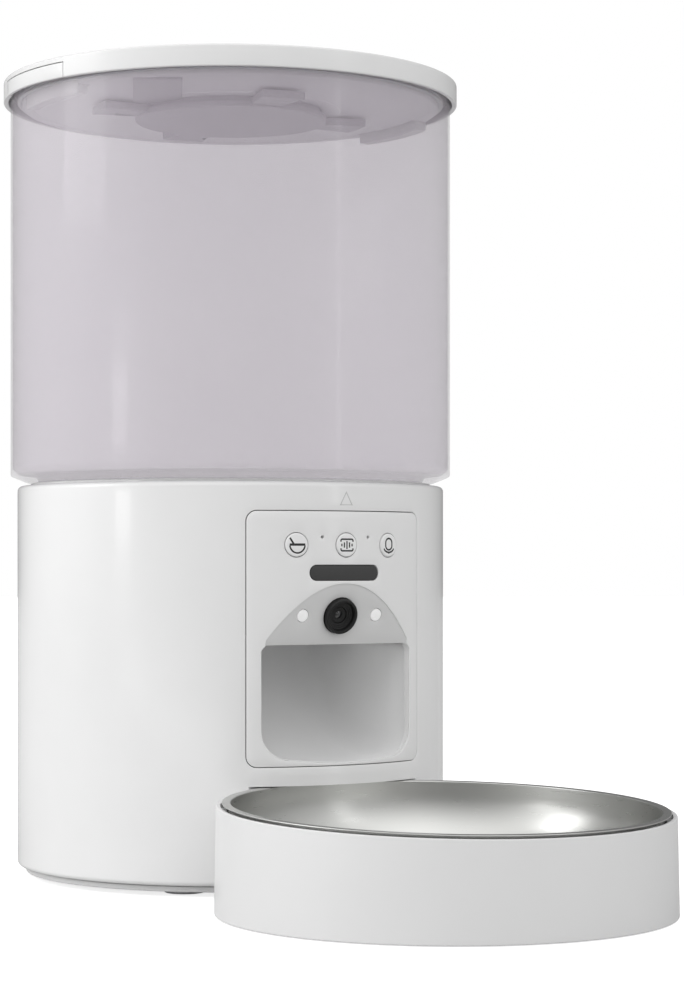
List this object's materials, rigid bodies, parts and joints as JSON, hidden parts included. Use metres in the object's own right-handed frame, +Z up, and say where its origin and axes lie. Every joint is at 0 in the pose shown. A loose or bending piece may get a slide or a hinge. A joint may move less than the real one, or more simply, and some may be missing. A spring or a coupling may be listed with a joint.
{
  "type": "pet feeder with camera",
  "caption": "Cylindrical pet feeder with lidded translucent tank, rotor chamber, sloping chute under a slanted camera plate, and a steel bowl in a round pull-out tray.",
  "frame": {"origin": "on the floor, at the middle of the whole object's footprint", "axes": "+Z up; the feeder faces -Y, with the bowl on the -Y side; +X is on the right of someone who stands in front of it and looks at it"},
  "size_m": [0.183, 0.3255, 0.3177],
  "materials": {
    "housing": "gloss white moulded",
    "panel": "gloss white moulded",
    "window": "dark smoked, satin",
    "buttons": "gloss white moulded",
    "camera_plate": "satin light grey",
    "bezel": "gloss black with fine rings",
    "lens": "coated glass, dark",
    "ir_windows": "frosted white",
    "modules": "matt black",
    "boards": "green board, satin",
    "chute": "satin white moulded",
    "deck": "satin grey moulded",
    "rotor": "matt silicone",
    "shafts": "ground steel",
    "gears": "natural acetal",
    "gearbox": "satin grey moulded",
    "motor": "zinc-plated can",
    "base": "fine-textured light grey",
    "screws": "zinc-plated",
    "feet": "matt grey",
    "battery_bay": "satin grey moulded",
    "cells": "dark wrapped can",
    "contacts": "nickel-plated strip",
    "jack": "matt black",
    "tank": "translucent, gloss, faint violet-grey",
    "lid": "gloss white moulded",
    "liner": "satin white moulded",
    "seal": "matt silicone",
    "latches": "gloss white moulded",
    "desiccant_cap": "satin white moulded",
    "desiccant_bag": "porous paper",
    "tray": "gloss white moulded",
    "steel_bowl": "satin-polished stainless"
  },
  "bodies": {
    "base": {"body_housing": "housing", "front_panel": "panel", "display_window": "window", "camera_plate": "camera_plate", "camera_bezel": "bezel", "camera_lens": "lens", "ir_window_left": "ir_windows", "ir_window_right": "ir_windows", "camera_module": "modules", "button_board": "boards", "display_module": "modules", "chute_scoop": "chute", "feed_deck": "deck", "chamber_cover": "deck", "gearbox_base": "gearbox", "gearbox_cover": "gearbox", "idler_axle": "shafts", "drive_motor": "motor", "base_plate": "base", "base_screw_front_left": "screws", "base_screw_front_right": "screws", "base_screw_rear_left": "screws", "base_screw_rear_right": "screws", "foot_front_left": "feet", "foot_front_right": "feet", "foot_rear_left": "feet", "foot_rear_right": "feet", "battery_bay": "battery_bay", "battery_cell_left": "cells", "battery_cell_middle": "cells", "battery_cell_right": "cells", "contact_strip_front": "contacts", "contact_strip_rear": "contacts", "main_board": "boards", "speaker": "modules", "power_jack": "jack"},
    "hopper": {"hopper_tank": "tank"},
    "lid": {"lid_cover": "lid", "lid_liner": "liner", "lid_seal": "seal"},
    "left_latch": {"latch_left": "latches"},
    "right_latch": {"latch_right": "latches"},
    "desiccant": {"desiccant_cap": "desiccant_cap", "desiccant_bag": "desiccant_bag"},
    "rotor": {"feed_rotor": "rotor", "drive_shaft": "shafts", "output_gear": "gears"},
    "idler": {"idler_gear": "gears"},
    "motor_rotor": {"motor_pinion": "gears", "motor_shaft": "shafts"},
    "feed_key": {"button_feed": "buttons"},
    "record_key": {"button_record": "buttons"},
    "talk_key": {"button_talk": "buttons"},
    "door": {"battery_door": "base"},
    "tray": {"bowl_tray": "tray", "steel_bowl": "steel_bowl"}
  },
  "joints": [
    {"name": "hopper_lift", "type": "slide", "parent": "base", "child": "hopper", "axis": [0, 0, 1], "range_m": [0, 0.04]},
    {"name": "lid_lift", "type": "slide", "parent": "hopper", "child": "lid", "axis": [0, 0, 1], "range_m": [0, 0.04]},
    {"name": "latch_left_press", "type": "slide", "parent": "lid", "child": "left_latch", "axis": [1, 0, 0], "range_m": [0, 0.0012], "stiffness_N_per_m": 800},
    {"name": "latch_right_press", "type": "slide", "parent": "lid", "child": "right_latch", "axis": [-1, 0, 0], "range_m": [0, 0.0012], "stiffness_N_per_m": 800},
    {"name": "desiccant_twist", "type": "hinge", "parent": "lid", "child": "desiccant", "pos_m": [0, 0.07125, 0.3048], "axis": [0, 0, 1], "range_deg": [0, 30]},
    {"name": "rotor_spin", "type": "hinge", "parent": "base", "child": "rotor", "pos_m": [0, 0.07125, 0.1], "axis": [0, 0, 1], "continuous": true},
    {"name": "idler_spin", "type": "hinge", "parent": "base", "child": "idler", "pos_m": [0, 0.09155, 0.085], "axis": [0, 0, 1], "continuous": true},
    {"name": "motor_spin", "type": "hinge", "parent": "base", "child": "motor_rotor", "pos_m": [0, 0.11185, 0.08], "axis": [0, 0, 1], "continuous": true},
    {"name": "feed_press", "type": "slide", "parent": "base", "child": "feed_key", "axis": [0.2402, 0.9707, 0], "range_m": [0, 0.0006], "stiffness_N_per_m": 800},
    {"name": "record_press", "type": "slide", "parent": "base", "child": "record_key", "axis": [0, 1, 0], "range_m": [0, 0.0006], "stiffness_N_per_m": 800},
    {"name": "talk_press", "type": "slide", "parent": "base", "child": "talk_key", "axis": [-0.2402, 0.9707, 0], "range_m": [0, 0.0006], "stiffness_N_per_m": 800},
    {"name": "door_release", "type": "slide", "parent": "base", "child": "door", "axis": [0, 0, -1], "range_m": [0, 0.04]},
    {"name": "tray_pull", "type": "slide", "parent": "base", "child": "tray", "axis": [0, -1, 0], "range_m": [0, 0.04]}
  ],
  "couplings": [
    {"joint": "idler_spin", "follows": "rotor_spin", "ratio": -3},
    {"joint": "motor_spin", "follows": "rotor_spin", "ratio": 9}
  ]
}
